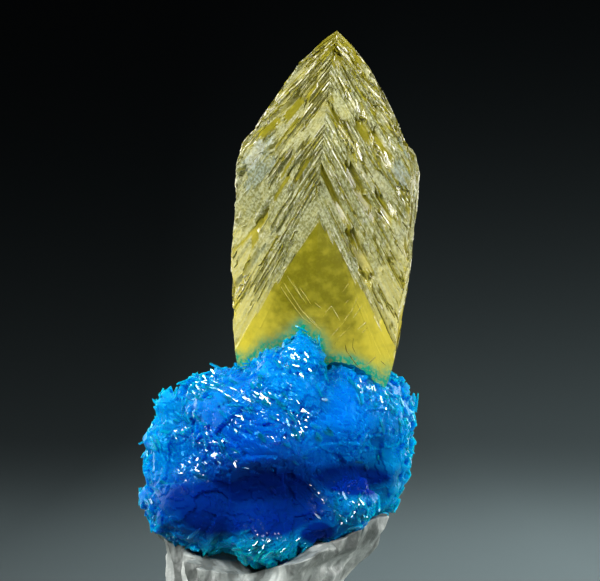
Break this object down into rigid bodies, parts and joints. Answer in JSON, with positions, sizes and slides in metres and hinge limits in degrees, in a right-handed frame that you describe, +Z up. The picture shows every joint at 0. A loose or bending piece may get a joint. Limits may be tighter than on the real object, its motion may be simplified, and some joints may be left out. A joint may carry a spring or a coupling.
{
  "type": "calcite crystal on cavansite",
  "caption": "Honey-yellow pointed calcite crystal on a round cluster of blue cavansite blades, held upright in a lump of pale mounting putty with a flat foot.",
  "frame": {"origin": "a point on the underside of the putty's flat foot, below the middle of the cavansite cluster", "axes": "+Z up along the specimen, -Y towards the front, where one smooth lower face of the calcite shows, +X to the right seen from the front"},
  "size_m": [0.0152, 0.0123, 0.032],
  "materials": {
    "calcite": "polished",
    "cavansite": "gloss",
    "putty": "matte"
  },
  "bodies": {
    "root": {"calcite_crystal": "calcite", "cavansite_cluster": "cavansite", "putty_mount": "putty"}
  },
  "joints": []
}
